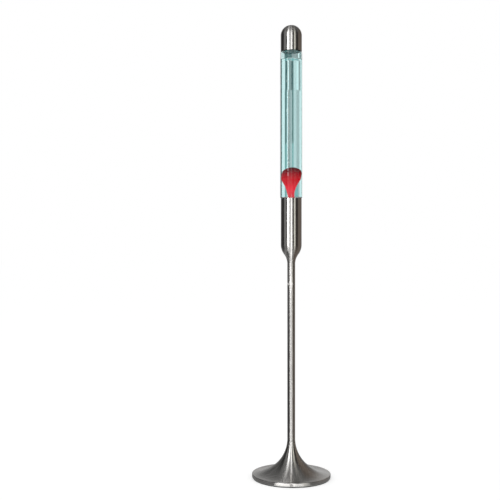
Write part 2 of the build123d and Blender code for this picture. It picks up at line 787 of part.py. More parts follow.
pieces = {
    "foot_pad": foot_pad,
    "base_plate": base_plate,
    "base_plate_screws": base_plate_screws,
    "foot_weight": foot_weight,
    "foot_shell": foot_shell,
    "cord_inlet": cord_inlet,
    "throat_bush": throat_bush,
    "clamp_rod": clamp_rod,
    "clamp_washer": clamp_washer,
    "clamp_nut": clamp_nut,
    "terminal_block": terminal_block,
    "stem_tube": stem_tube,
    "stem_insert_lower": stem_insert_lower,
    "stem_insert_upper": stem_insert_upper,
    "cup_shell": cup_shell,
    "cup_clamp_cone": cup_clamp_cone,
    "cup_clamp_nut": cup_clamp_nut,
    "holder_nipple": holder_nipple,
    "lampholder_cap": lampholder_cap,
    "lampholder_body": lampholder_body,
    "socket_sleeve": socket_sleeve,
    "centre_contact": centre_contact,
    "internal_lead": internal_lead,
    "bulb_shell": bulb_shell,
    "bulb_contact": bulb_contact,
    "bulb_envelope": bulb_envelope,
    "cup_seat_ring": cup_seat_ring,
    "bottle_glass": bottle_glass,
    "base_coil": base_coil,
    "wax_body": wax_body,
    "lamp_liquid": lamp_liquid,
    "closure_seal": closure_seal,
    "bottle_closure": bottle_closure,
    "cap_liner": cap_liner,
    "dome_cap": dome_cap,
}

for name, piece in pieces.items():
    piece.part.label = name
    export_step(piece.part, f"parts/{name}.step")
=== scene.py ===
import math

import bmesh
import bpy
from mathutils import Matrix, Vector


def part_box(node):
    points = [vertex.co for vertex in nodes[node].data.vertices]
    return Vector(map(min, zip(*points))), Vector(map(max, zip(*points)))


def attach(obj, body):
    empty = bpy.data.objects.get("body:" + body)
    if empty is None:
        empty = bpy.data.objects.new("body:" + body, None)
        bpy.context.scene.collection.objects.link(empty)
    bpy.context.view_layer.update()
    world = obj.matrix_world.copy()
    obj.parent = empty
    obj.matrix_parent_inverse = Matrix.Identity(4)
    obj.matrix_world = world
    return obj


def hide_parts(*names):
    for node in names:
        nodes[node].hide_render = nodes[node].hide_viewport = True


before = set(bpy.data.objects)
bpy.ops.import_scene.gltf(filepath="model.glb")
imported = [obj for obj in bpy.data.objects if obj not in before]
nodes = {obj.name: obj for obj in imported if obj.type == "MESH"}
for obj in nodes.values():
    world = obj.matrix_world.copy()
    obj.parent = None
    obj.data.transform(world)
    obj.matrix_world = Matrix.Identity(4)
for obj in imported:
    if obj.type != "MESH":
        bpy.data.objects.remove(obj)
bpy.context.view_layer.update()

mm = 0.001

# The view is the photograph's: a level camera a little to the left of the lamp and half its height up,
# with a long lens. The picture is taken to be 500 pixels square, with the horizon above its middle.
picture_pixels = 500
horizon_pixel = 237
focal_pixels = 910
camera_offset = -119.4 * mm
camera_distance = 2634 * mm
camera_height = 696 * mm
camera_data = bpy.data.cameras.new("camera")
camera_data.sensor_width = 36
camera_data.lens = focal_pixels / picture_pixels * camera_data.sensor_width
camera_data.shift_y = horizon_pixel / picture_pixels - 0.5
camera = bpy.data.objects.new("camera", camera_data)
camera.location = (camera_offset, -camera_distance, camera_height)
camera.rotation_euler = (math.radians(90), 0, 0)
scene = bpy.context.scene
scene.collection.objects.link(camera)
scene.camera = camera
scene.view_settings.view_transform = "Standard"


# The studio is a white sweep under even light. The camera, metal and glass see the sweep as plain white,
# and the light that falls on the lamp is the same from all round, with one wide soft lamp from the front.
def add_node(tree, kind, **values):
    """A new node, with its settings by their names and its inputs by their sockets' names."""
    made = tree.nodes.new("ShaderNode" + kind)
    for name, value in values.items():
        if hasattr(made, name):
            setattr(made, name, value)
        else:
            made.inputs[name.replace("_", " ")].default_value = value
    return made


def seen_by(tree, *rays):
    """1 for the kinds of ray named, and 0 for the rest."""
    path = add_node(tree, "LightPath")
    found = path.outputs[rays[0]]
    for ray in rays[1:]:
        either = add_node(tree, "Math", operation="MAXIMUM")
        tree.links.new(found, either.inputs[0])
        tree.links.new(path.outputs[ray], either.inputs[1])
        found = either.outputs[0]
    return found


def choose(tree, mask, otherwise, chosen):
    """Shows one shader where a mask is 1, and another where it is 0."""
    choice = add_node(tree, "MixShader")
    tree.links.new(mask, choice.inputs[0])
    tree.links.new(otherwise, choice.inputs[1])
    tree.links.new(chosen, choice.inputs[2])
    return choice.outputs[0]


fill_light = 0.72
world = bpy.data.worlds.new("studio")
world.use_nodes = True
scene.world = world
world_tree = world.node_tree
world_tree.nodes.clear()
sweep_white = add_node(world_tree, "Background", Color=(1, 1, 1, 1), Strength=1.0)
sweep_fill = add_node(world_tree, "Background", Color=(1, 1, 1, 1), Strength=fill_light)
sweep_shows = seen_by(world_tree, "Is Camera Ray", "Is Glossy Ray", "Is Transmission Ray")
sweep_out = add_node(world_tree, "OutputWorld")
sweep = choose(world_tree, sweep_shows, sweep_fill.outputs[0], sweep_white.outputs[0])
world_tree.links.new(sweep, sweep_out.inputs["Surface"])

# The floor is white paper. The camera sees it as white with the lamp's soft shadow on it, and metal sees
# it greyer.
floor_size = 40.0
shadow_share = 0.6
mirrored_share = 0.25
floor_paint = bpy.data.materials.new("floor_paper")
floor_paint.use_nodes = True
floor_tree = floor_paint.node_tree
floor_tree.nodes.clear()
paper = add_node(floor_tree, "BsdfDiffuse", Color=(0.82, 0.82, 0.82, 1))
paper_shown = add_node(floor_tree, "BsdfDiffuse", Color=(*[shadow_share] * 3, 1))
paper_glow = add_node(floor_tree, "Emission", Strength=1 - shadow_share * fill_light)
paper_mirrored = add_node(floor_tree, "Emission", Strength=mirrored_share)
paper_sum = add_node(floor_tree, "AddShader")
floor_out = add_node(floor_tree, "OutputMaterial")
floor_tree.links.new(paper_shown.outputs[0], paper_sum.inputs[0])
floor_tree.links.new(paper_glow.outputs[0], paper_sum.inputs[1])
in_metal = seen_by(floor_tree, "Is Glossy Ray")
in_view = seen_by(floor_tree, "Is Camera Ray", "Is Transmission Ray")
floor_look = choose(floor_tree, in_metal, paper.outputs[0], paper_mirrored.outputs[0])
floor_look = choose(floor_tree, in_view, floor_look, paper_sum.outputs[0])
floor_tree.links.new(floor_look, floor_out.inputs["Surface"])
floor_shape = bmesh.new()
bmesh.ops.create_grid(floor_shape, x_segments=4, y_segments=4, size=floor_size / 2)
floor_mesh = bpy.data.meshes.new("floor")
floor_shape.to_mesh(floor_mesh)
floor_mesh.materials.append(floor_paint)
floor = bpy.data.objects.new("floor", floor_mesh)
scene.collection.objects.link(floor)

# One wide soft lamp stands to the left of the camera, high up. Metal doesn't mirror it.
lamp_place = Vector((-1.6, -2.4, 2.8))
lamp_aim = Vector((0, 0, 0.6))
lamp_data = bpy.data.lights.new("front_lamp", "AREA")
lamp_data.shape = "DISK"
lamp_data.size = 2.4
lamp_data.energy = 12
front_lamp = bpy.data.objects.new("front_lamp", lamp_data)
front_lamp.location = lamp_place
front_lamp.rotation_euler = (lamp_aim - lamp_place).to_track_quat("-Z", "Y").to_euler()
front_lamp.visible_glossy = False
front_lamp.visible_camera = False
scene.collection.objects.link(front_lamp)


# Soft boxes and flags stand in a ring round the lamp: upright curved cards that the camera doesn't see, but
# that show in the shine of metal and glass. Further strips stand behind the lamp and show only through the
# glass. Each stretch is in degrees round the lamp, from the camera's side towards +X.
card_distance = 1.5
card_height = 3.0
card_foot = 2 * mm
card_step = 6
neutral = (1.0, 1.0, 1.0)
warm = (1.0, 0.84, 0.72)
greenish = (1.0, 0.99, 0.9)
teal = (0.6, 1.0, 1.0)


def glow(name, tone, strength):
    """A material that shows one plain tone."""
    made = bpy.data.materials.new(name)
    made.use_nodes = True
    made.node_tree.nodes.clear()
    light = add_node(made.node_tree, "Emission", Color=(*tone, 1), Strength=strength)
    out = add_node(made.node_tree, "OutputMaterial")
    made.node_tree.links.new(light.outputs[0], out.inputs["Surface"])
    return made


def studio_card(name, shape, material, mirrored=True, through_glass=False):
    """A card of the studio, which lights nothing and casts no shadow."""
    mesh = bpy.data.meshes.new(name)
    shape.to_mesh(mesh)
    mesh.materials.append(material)
    card = bpy.data.objects.new(name, mesh)
    scene.collection.objects.link(card)
    card.visible_camera = card.visible_diffuse = card.visible_shadow = False
    card.visible_glossy = mirrored
    card.visible_transmission = through_glass


def curved(first, last, start, end):
    """A line from start to end, both given as reach and height, swept round the lamp."""
    shape = bmesh.new()
    ends = [shape.verts.new((0, -reach, height)) for reach, height in (start, end)]
    line = shape.edges.new(ends)
    turn = Matrix.Rotation(math.radians(first), 4, "Z")
    bmesh.ops.transform(shape, matrix=turn, verts=ends)
    sweep_round = {"cent": (0, 0, 0), "axis": (0, 0, 1), "angle": math.radians(last - first)}
    bmesh.ops.spin(shape, geom=[*ends, line], steps=math.ceil(abs(last - first) / card_step), **sweep_round)
    return shape


def card_ring(levels, cards, **seen):
    """Puts up cards, each by its name, its stretch, its tone and its strength between each two levels."""
    for name, first, last, tone, strengths in cards:
        for level, strength in enumerate(strengths):
            if strength is None:
                continue
            low, top = levels[level:level + 2]
            upright = curved(first, last, (card_distance, low), (card_distance, top))
            card_name = f"{name}_{level}"
            studio_card(card_name, upright, glow(card_name, tone, strength), **seen)


card_levels = (card_foot, 0.45, 0.86, 1.55, 2.3, card_height)
card_ring(card_levels, (
    ("behind_left", -172, -131, neutral, (None, 0.1, 0.18, None, None)),
    ("far_left", -130, -90, neutral, (0.03, 0.03, 0.03, 0.02, None)),
    ("left", -90, -61, neutral, (0.04, 0.5, 0.3, 0.36, 0.3)),
    ("gap_left", -61, -47, neutral, (0.05, 0.05, 0.03, 0.02, 0.05)),
    ("softbox_left", -47, -28, neutral, (0.8, 2.5, 8.0, None, None)),
    ("softbox_left_top", -44, -28, neutral, (None, None, None, 2.0, 2.2)),
    ("between", -28, -5, neutral, (1.5, 1.05, 0.8, 0.7, 0.6)),
    ("softbox_middle", -5, 8, neutral, (2.8, 2.8, 2.8, None, None)),
    ("softbox_middle_top", -5, 10, neutral, (None, None, None, 1.7, 1.7)),
    ("gap_middle", 8, 29, warm, (0.03, 0.03, 0.02, None, None)),
    ("gap_middle_top", 10, 29, warm, (None, None, None, 0.02, 0.05)),
    ("softbox_right", 29, 40, greenish, (1.6, 1.6, 1.6, 0.9, 0.9)),
    ("right", 40, 48, greenish, (0.75, 0.75, 0.75, 0.5, 0.4)),
    ("gap_right", 48, 78, warm, (0.02, 0.02, 0.02, 0.02, None)),
    ("far_right", 79, 130, warm, (0.22, 0.22, 0.22, 0.15, None)),
    ("behind_right", 131, 160, warm, (None, 0.14, 0.18, 0.14, None)),
    ("behind", 161, 188, neutral, (0.6, 0.6, None, None, None)),
))
strip_levels = (card_foot, 1.15, 1.38, card_height)
card_ring(strip_levels, (
    ("strip_far_left", 100, 141, neutral, (0.03, 0.03, 0.03)),
    ("strip_left", 159, 166, teal, (0.42, 0.22, None)),
    ("strip_left_top", 160, 168, teal, (None, None, 0.17)),
    ("strip_near_left", 168.5, 174, neutral, (0.36, 0.4, None)),
    ("strip_near_left_top", 171.5, 177, neutral, (None, None, 0.36)),
    ("strip_middle", 174, 179.5, neutral, (0.58, 0.5, None)),
    ("strip_middle_top", 177, 183, teal, (None, None, 0.15)),
    ("strip_axis", 179.5, 183, teal, (0.5, 0.24, None)),
    ("strip_near_right", 183, 191.5, neutral, (0.76, 0.76, 0.8)),
    ("strip_right", 191.5, 204, neutral, (0.55, 0.55, None)),
    ("strip_right_top", 200, 211, neutral, (None, None, 0.4)),
), mirrored=False, through_glass=True)
low_strip_distance = card_distance - 0.01
low_strip = curved(168, 197, (low_strip_distance, 0.84), (low_strip_distance, 1.0))
studio_card("strip_low", low_strip, glow("strip_low", teal, 0.5), mirrored=False, through_glass=True)

# Cards that lie on the floor light the rim and the lower stem, each from one reach to another
for name, first, last, near, far, tone, strength in (
    ("floor_card_left", -29.5, -5, 0.12, 0.22, neutral, 2.0),
    ("floor_card_left_far", -40, -5, 0.22, 0.5, neutral, 2.4),
    ("floor_card_right", 1, 17, 0.12, 0.22, neutral, 1.9),
    ("floor_card_right_far", 1, 24, 0.22, 0.5, neutral, 2.2),
    ("floor_card_end", 17, 29, 0.12, 0.22, neutral, 0.7),
    ("floor_card_end_far", 24, 40, 0.22, 0.5, neutral, 0.8),
    ("floor_flag_left", -135, -50, 0.24, 1.45, neutral, 0.03),
    ("floor_flag_right", 50, 135, 0.24, 1.45, warm, 0.2),
):
    flat = curved(first, last, (near, card_foot), (far, card_foot))
    studio_card(name, flat, glow(name, tone, strength))

# Narrow lights hang over the foot, each along a line from start to end, and draw the ridges down the trumpet
foot_light_height = 0.56
for name, start, end, width, strength in (
    ("foot_light_middle", (-4 * mm, -1.4), (-4 * mm, 1.4), 0.02, 2.5),
    ("foot_light_left", (-0.379, -0.669), (-0.161, -0.142), 0.05, 1.4),
    ("foot_light_left_far", (-0.161, -0.142), (-0.088, 0.188), 0.045, 0.7),
):
    line = Vector(end) - Vector(start)
    middle = (Vector(end) + Vector(start)) / 2
    flat = bmesh.new()
    bmesh.ops.create_grid(flat, x_segments=1, y_segments=8, size=0.5)
    bmesh.ops.scale(flat, vec=(width, line.length, 1), verts=flat.verts)
    turn = Matrix.Rotation(-math.atan2(line.x, line.y), 4, "Z")
    place = Matrix.Translation((*middle, foot_light_height))
    bmesh.ops.transform(flat, matrix=place @ turn, verts=flat.verts)
    studio_card(name, flat, glow(name, neutral, strength))

# The room's grey wall and ceiling show in metal wherever no card stands in front of them
wall_distance = 1.6
room_grey = 0.18
upper_wall = curved(-180, 180, (wall_distance, card_foot), (wall_distance, card_height))
studio_card("upper_wall", upper_wall, glow("upper_wall", neutral, room_grey))
ceiling = bmesh.new()
bmesh.ops.create_circle(ceiling, cap_ends=True, segments=48, radius=wall_distance)
bmesh.ops.translate(ceiling, verts=ceiling.verts, vec=(0, 0, card_height))
studio_card("ceiling", ceiling, glow("ceiling", neutral, room_grey))


# The foot pad is a disc of black foam rubber under the whole foot. It is die-cut from sheet and glued on,
# so its skin is flat and slightly porous.
def new_finish(name, colour, roughness, **values):
    """A material, its tree and its shader, with the plain values of a finish on the shader's sockets."""
    made = bpy.data.materials.new(name)
    made.use_nodes = True
    shader = made.node_tree.nodes["Principled BSDF"]
    shader.inputs["Base Color"].default_value = (*colour, 1)
    shader.inputs["Roughness"].default_value = roughness
    for socket, value in values.items():
        shader.inputs[socket.replace("_", " ")].default_value = value
    return made, made.node_tree, shader


def new_group(name, inputs, outputs):
    """A node group with named sockets, its input node and its output node."""
    group = bpy.data.node_groups.new(name, "ShaderNodeTree")
    for socket, value in inputs.items():
        kind = "NodeSocketVector" if value is None else "NodeSocketFloat"
        made = group.interface.new_socket(name=socket, in_out="INPUT", socket_type=kind)
        if value is not None:
            made.default_value = value
    for socket in outputs:
        group.interface.new_socket(name=socket, in_out="OUTPUT", socket_type="NodeSocketFloat")
    return group, group.nodes.new("NodeGroupInput"), group.nodes.new("NodeGroupOutput")


def use_group(tree, group, **values):
    """A group placed in a material and fed with Object coordinates."""
    placed = tree.nodes.new("ShaderNodeGroup")
    placed.node_tree = group
    for socket, value in values.items():
        placed.inputs[socket].default_value = value
    places = add_node(tree, "TexCoord")
    tree.links.new(places.outputs["Object"], placed.inputs["Vector"])
    return placed


def vary(tree, source, target, low, high):
    """Runs a mask from 0 to 1 into a plain socket as the values from low to high."""
    spread = add_node(tree, "MapRange", To_Min=low, To_Max=high)
    tree.links.new(source, spread.inputs["Value"])
    tree.links.new(spread.outputs["Result"], target)


def shade(tree, source, target, dark, light):
    """Runs a mask from 0 to 1 into a colour socket as the colours from dark to light."""
    blend = add_node(tree, "Mix", data_type="RGBA")
    blend.inputs[6].default_value = (*dark, 1)
    blend.inputs[7].default_value = (*light, 1)
    tree.links.new(source, blend.inputs["Factor"])
    tree.links.new(blend.outputs[2], target)


def relief(tree, source, shader, height):
    """Runs a mask into the shader's Normal as a relief of that height, in metres."""
    bump = add_node(tree, "Bump", Distance=height)
    tree.links.new(source, bump.inputs["Height"])
    tree.links.new(bump.outputs["Normal"], shader.inputs["Normal"])


def give(material, *names):
    """Puts a material on CAD nodes."""
    for name in names:
        nodes[name].data.materials.clear()
        nodes[name].data.materials.append(material)


# Grains: fine specks, and clouds of a hundred times their size, as in cast, moulded and foamed materials
grain, grain_in, grain_out = new_group("grain", {"Vector": None, "Size": 1.0}, ["Specks", "Clouds"])
per_metre = add_node(grain, "Math", operation="DIVIDE")
per_metre.inputs[0].default_value = 1.0
specks = add_node(grain, "TexNoise", Detail=3.0, Roughness=0.6)
clouds = add_node(grain, "TexNoise", Scale=22.0, Detail=2.0)
grain.links.new(grain_in.outputs["Size"], per_metre.inputs[1])
grain.links.new(grain_in.outputs["Vector"], specks.inputs["Vector"])
grain.links.new(per_metre.outputs[0], specks.inputs["Scale"])
grain.links.new(grain_in.outputs["Vector"], clouds.inputs["Vector"])
grain.links.new(specks.outputs[0], grain_out.inputs["Specks"])
grain.links.new(clouds.outputs[0], grain_out.inputs["Clouds"])

foam, foam_tree, foam_shader = new_finish("foam_rubber", (0.02, 0.02, 0.02), 0.85)
foam_grain = use_group(foam_tree, grain, Size=0.6 * mm)
shade(foam_tree, foam_grain.outputs["Specks"], foam_shader.inputs["Base Color"], (0.008,) * 3, (0.05,) * 3)
vary(foam_tree, foam_grain.outputs["Clouds"], foam_shader.inputs["Roughness"], 0.75, 0.95)
relief(foam_tree, foam_grain.outputs["Specks"], foam_shader, 0.3 * mm)
give(foam, "foot_pad")


# The base plate is a disc of zinc-plated sheet steel that closes the foot. Three countersunk screws with
# cross recesses hold it to the ballast, and their heads lie flush under the pad.
def grained_metal(name, dark, light, size, polish=(0.25, 0.4)):
    """A plated or cast metal with specks in its tone and its polish."""
    made, tree, shader = new_finish(name, light, polish[1], Metallic=1.0)
    texture = use_group(tree, grain, Size=size)
    shade(tree, texture.outputs["Clouds"], shader.inputs["Base Color"], dark, light)
    vary(tree, texture.outputs["Specks"], shader.inputs["Roughness"], *polish)
    relief(tree, texture.outputs["Specks"], shader, 0.02 * mm)
    return made


zinc = grained_metal("zinc_plate", (0.5, 0.51, 0.5), (0.68, 0.69, 0.66), 1.2 * mm)
give(zinc, "base_plate", "base_plate_screws")

# The ballast is a disc of cast iron under the trumpet, painted black against rust. It is bored for the
# clamp rod and cored for the terminal block and the cord.
iron, iron_tree, iron_shader = new_finish("cast_iron", (0.03, 0.03, 0.032), 0.7)
iron_grain = use_group(iron_tree, grain, Size=2 * mm)
iron_tones = ((0.02, 0.02, 0.02), (0.07, 0.068, 0.065))
shade(iron_tree, iron_grain.outputs["Clouds"], iron_shader.inputs["Base Color"], *iron_tones)
vary(iron_tree, iron_grain.outputs["Specks"], iron_shader.inputs["Roughness"], 0.5, 0.8)
relief(iron_tree, iron_grain.outputs["Specks"], iron_shader, 0.25 * mm)
give(iron, "foot_weight")


# The foot shell is a trumpet of stainless steel, spun over a former from one disc and brushed round and
# round on the lathe. Its rim is turned down, and notched at the back for the cord inlet.
round_steps = 192


class Template:
    """A turned piece's half section, drawn by a point that is pulled along lines and swung round arcs."""

    def __init__(self, reach, height):
        self.shape = bmesh.new()
        self.first = self.tip = self.shape.verts.new((reach, 0, height))

    def line(self, reach, height):
        """Pulls the point straight to a place."""
        self.tip = bmesh.ops.extrude_vert_indiv(self.shape, verts=[self.tip])["verts"][0]
        self.tip.co = (reach, 0, height)

    def arc(self, reach, height, degrees, steps=6):
        """Swings the point round a centre, by degrees from +Z towards +X."""
        swing = {"cent": (reach, 0, height), "axis": (0, 1, 0), "angle": math.radians(degrees)}
        self.tip = bmesh.ops.spin(self.shape, geom=[self.tip], steps=steps, **swing)["geom_last"][0]

    def close(self):
        """Joins the point to where it began."""
        self.shape.edges.new((self.tip, self.first))

    def spin(self, steps=round_steps):
        """Turns the section once round the lamp's axis into a closed shape."""
        section = [*self.shape.verts, *self.shape.edges]
        turn = {"cent": (0, 0, 0), "axis": (0, 0, 1), "angle": 2 * math.pi, "use_merge": True}
        bmesh.ops.spin(self.shape, geom=section, steps=steps, **turn)
        bmesh.ops.remove_doubles(self.shape, verts=self.shape.verts, dist=0.005 * mm)
        bmesh.ops.recalc_face_normals(self.shape, faces=self.shape.faces)
        return self.shape


crease = math.radians(30)


def make_piece(name, shape, material, body, *stands_for):
    """Makes a shape a piece, smooth but for its creases, that rides on a body and stands for CAD nodes."""
    for face in shape.faces:
        face.smooth = True
    for edge in shape.edges:
        edge.smooth = edge.calc_face_angle(0) < crease
    mesh = bpy.data.meshes.new(name)
    shape.to_mesh(mesh)
    shape.free()
    mesh.materials.append(material)
    piece = bpy.data.objects.new(name, mesh)
    scene.collection.objects.link(piece)
    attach(piece, body)
    if stands_for:
        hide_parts(*stands_for)
    return piece


# Lathe lines run round the axis, so their tone changes along the profile and hardly at all round it
lathe, lathe_in, lathe_out = new_group("lathe_lines", {"Vector": None, "Spacing": 1.0}, ["Lines", "Bands"])
lathe_split = add_node(lathe, "SeparateXYZ")
lathe_reach = add_node(lathe, "VectorMath", operation="LENGTH")
lathe_flat = add_node(lathe, "CombineXYZ")
lathe_along = add_node(lathe, "Math", operation="SUBTRACT")
lathe_count = add_node(lathe, "Math", operation="DIVIDE")
lathe_count.inputs[0].default_value = 1.0
lathe_scaled = add_node(lathe, "Math", operation="MULTIPLY")
lathe_round = add_node(lathe, "VectorMath", operation="NORMALIZE")
lathe_round_split = add_node(lathe, "SeparateXYZ")
lathe_place = add_node(lathe, "CombineXYZ")
lathe_noise = add_node(lathe, "TexNoise", Scale=1.0, Detail=4.0, Roughness=0.7)
lathe_bands = add_node(lathe, "TexNoise", Scale=0.04, Detail=1.0)
for start, end in (
    (lathe_in.outputs["Vector"], lathe_split.inputs[0]),
    (lathe_split.outputs["X"], lathe_flat.inputs["X"]),
    (lathe_split.outputs["Y"], lathe_flat.inputs["Y"]),
    (lathe_flat.outputs[0], lathe_reach.inputs[0]),
    (lathe_flat.outputs[0], lathe_round.inputs[0]),
    (lathe_split.outputs["Z"], lathe_along.inputs[0]),
    (lathe_reach.outputs["Value"], lathe_along.inputs[1]),
    (lathe_in.outputs["Spacing"], lathe_count.inputs[1]),
    (lathe_along.outputs[0], lathe_scaled.inputs[0]),
    (lathe_count.outputs[0], lathe_scaled.inputs[1]),
    (lathe_round.outputs["Vector"], lathe_round_split.inputs[0]),
    (lathe_round_split.outputs["X"], lathe_place.inputs["X"]),
    (lathe_round_split.outputs["Y"], lathe_place.inputs["Y"]),
    (lathe_scaled.outputs[0], lathe_place.inputs["Z"]),
    (lathe_place.outputs[0], lathe_noise.inputs["Vector"]),
    (lathe_place.outputs[0], lathe_bands.inputs["Vector"]),
    (lathe_noise.outputs[0], lathe_out.inputs["Lines"]),
    (lathe_bands.outputs[0], lathe_out.inputs["Bands"]),
):
    lathe.links.new(start, end)


def turned_metal(name, dark, light, spacing, polish, brushed):
    """A metal finished on the lathe, whose lights stretch across its lines."""
    made, tree, shader = new_finish(name, light, polish[1], Metallic=1.0)
    lines = use_group(tree, lathe, Spacing=spacing)
    shade(tree, lines.outputs["Lines"], shader.inputs["Base Color"], dark, light)
    vary(tree, lines.outputs["Lines"], shader.inputs["Roughness"], *polish)
    relief(tree, lines.outputs["Lines"], shader, 0.004 * mm)
    shader.inputs["Anisotropic"].default_value = brushed
    shader.inputs["Anisotropic Rotation"].default_value = 0.25
    tangent = add_node(tree, "Tangent", direction_type="RADIAL", axis="Z")
    tree.links.new(tangent.outputs[0], shader.inputs["Tangent"])
    return made


steel_tones = ((0.5, 0.49, 0.475), (0.62, 0.605, 0.585))
foot_steel = turned_metal("foot_steel", *steel_tones, 0.35 * mm, (0.22, 0.3), 1.0)

foot_low, foot_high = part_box("foot_shell")
stem_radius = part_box("stem_tube")[1].x
foot_radius = foot_high.x
spun_wall = 1.2 * mm
rim_top = 13 * mm
rim_round = 1.2 * mm
joint_bevel = 0.35 * mm
bevel_turn = 0.2
notch_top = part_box("cord_inlet")[1].z
notch_half = foot_radius * math.tan(2 * math.pi / round_steps)
trumpet_radius = foot_radius - rim_round - stem_radius
trumpet_reach = foot_radius - rim_round
trumpet_height = rim_top + trumpet_radius
seam_turn = math.degrees(math.acos((trumpet_height - foot_high.z) / trumpet_radius))
wall_turn = math.degrees(math.acos((trumpet_height - foot_high.z) / (trumpet_radius + spun_wall)))
foot = Template(foot_radius, foot_low.z)
foot.line(foot_radius, notch_top)
foot.line(foot_radius, rim_top - rim_round)
foot.arc(foot_radius - rim_round, rim_top - rim_round, -90, steps=8)
foot.arc(trumpet_reach, trumpet_height, seam_turn - bevel_turn, steps=72)
foot.line(foot.tip.co.x - joint_bevel, foot_high.z)
foot.line(stem_radius - spun_wall, foot_high.z)
foot.arc(trumpet_reach, trumpet_height, -wall_turn, steps=48)
foot.line(foot_radius - spun_wall, rim_top - spun_wall)
foot.line(foot_radius - spun_wall, notch_top)
foot.line(foot_radius - spun_wall, foot_low.z)
foot.close()
foot_shape = foot.spin()


def on_foot(edge):
    """True for an edge that lies along the rim's foot."""
    return max(vertex.co.z for vertex in edge.verts) < foot_low.z + 0.1 * mm


def in_notch(face):
    """True for the rim's faces in the two steps at the back, under the notch's top."""
    middle = face.calc_center_median()
    outside = math.hypot(middle.x, middle.y) > foot_radius - 2 * spun_wall
    return outside and middle.z < notch_top and middle.y > 0 and abs(middle.x) < notch_half


bmesh.ops.delete(foot_shape, geom=list(filter(in_notch, foot_shape.faces)), context="FACES")
notch_edges = [edge for edge in foot_shape.edges if edge.is_boundary and not on_foot(edge)]
bmesh.ops.bridge_loops(foot_shape, edges=notch_edges)
make_piece("foot_shell_spun", foot_shape, foot_steel, "stand", "foot_shell")


# The cord inlet is a bush of black rubber in the rim's notch at the back. It is moulded with rounded
# corners and a flat slot for a two-core cord, and its flange inside the rim stops it being pulled out.
rubber, rubber_tree, rubber_shader = new_finish("black_rubber", (0.02, 0.02, 0.02), 0.5)
rubber_grain = use_group(rubber_tree, grain, Size=0.4 * mm)
rubber_tones = ((0.01, 0.01, 0.01), (0.035, 0.035, 0.035))
shade(rubber_tree, rubber_grain.outputs["Clouds"], rubber_shader.inputs["Base Color"], *rubber_tones)
vary(rubber_tree, rubber_grain.outputs["Specks"], rubber_shader.inputs["Roughness"], 0.4, 0.6)
relief(rubber_tree, rubber_grain.outputs["Specks"], rubber_shader, 0.03 * mm)

inlet_low, inlet_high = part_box("cord_inlet")
notch_gap = 0.1 * mm
inlet_flange = 1.4 * mm
inlet_depth = 3.7 * mm
inlet_corner = 1.1 * mm
slot_edge = 1.35 * mm
slot_depth = 3.33 * mm
inlet = bmesh.new()
bmesh.ops.create_cube(inlet, size=1)
inlet_width = inlet_high.x - inlet_low.x - 2 * inlet_flange
inlet_height = inlet_high.z - inlet_low.z - notch_gap
bmesh.ops.scale(inlet, vec=(inlet_width, inlet_depth, inlet_height), verts=inlet.verts)
inlet_middle = (0, inlet_high.y - inlet_depth / 2, inlet_low.z + inlet_height / 2)
bmesh.ops.translate(inlet, vec=inlet_middle, verts=inlet.verts)
inlet_edges = [edge for edge in inlet.edges if abs((edge.verts[0].co - edge.verts[1].co).y) > mm]
rounded = {"affect": "EDGES", "segments": 5, "profile": 0.5, "material": -1}
bmesh.ops.bevel(inlet, geom=inlet_edges, offset=inlet_corner, **rounded)
inlet_face = max(inlet.faces, key=lambda face: face.calc_center_median().y)
bmesh.ops.inset_individual(inlet, faces=[inlet_face], thickness=slot_edge)
slot_floor = bmesh.ops.extrude_discrete_faces(inlet, faces=[inlet_face])["faces"][0]
bmesh.ops.translate(inlet, vec=(0, -slot_depth, 0), verts=slot_floor.verts)
make_piece("cord_inlet_bush", inlet, rubber, "stand", "cord_inlet")

# The clamp parts are plated steel: a threaded tube runs from a nut and washer in the ballast up through a
# cone that centres the trumpet, and screws into a brass bush in the foot of the stem.
give(zinc, "throat_bush", "clamp_rod", "clamp_washer", "clamp_nut")
brass = turned_metal("turned_brass", (0.62, 0.45, 0.2), (0.8, 0.62, 0.32), 0.5 * mm, (0.22, 0.36), 0.6)
give(brass, "stem_insert_lower", "stem_insert_upper")


# The terminal block is moulded in white nylon, and the lead from it up the stem is a round two-core cable
# with a white sheath. Both are closed in by the foot and the stem.
def moulded(name, dark, light, size, polish, height=0.02 * mm):
    """A moulded plastic or rubber with faint clouds in its tone and specks in its gloss."""
    made, tree, shader = new_finish(name, light, polish[1])
    texture = use_group(tree, grain, Size=size)
    shade(tree, texture.outputs["Clouds"], shader.inputs["Base Color"], dark, light)
    vary(tree, texture.outputs["Specks"], shader.inputs["Roughness"], *polish)
    relief(tree, texture.outputs["Specks"], shader, height)
    return made


give(moulded("white_nylon", (0.74, 0.73, 0.68), (0.84, 0.83, 0.79), 0.5 * mm, (0.35, 0.5)), "terminal_block")
give(moulded("lead_sheath", (0.78,) * 3, (0.86,) * 3, 1 * mm, (0.35, 0.45)), "internal_lead")

# The stem is a drawn tube of the same stainless steel, brushed round with a finer grit. It stands on the
# trumpet's upper edge, and both ends are broken with a small bevel that shows as a fine seam.
steel = turned_metal("brushed_steel", *steel_tones, 0.25 * mm, (0.26, 0.34), 1.0)
stem_low, stem_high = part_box("stem_tube")
tube_wall = 1.2 * mm
stem = Template(stem_radius - joint_bevel, stem_low.z)
stem.line(stem_radius, stem_low.z + joint_bevel)
stem.line(stem_radius, stem_high.z - joint_bevel)
stem.line(stem_radius - joint_bevel, stem_high.z)
stem.line(stem_radius - tube_wall, stem_high.z)
stem.line(stem_radius - tube_wall, stem_low.z)
stem.close()
make_piece("stem_brushed", stem.spin(), steel, "stand", "stem_tube")

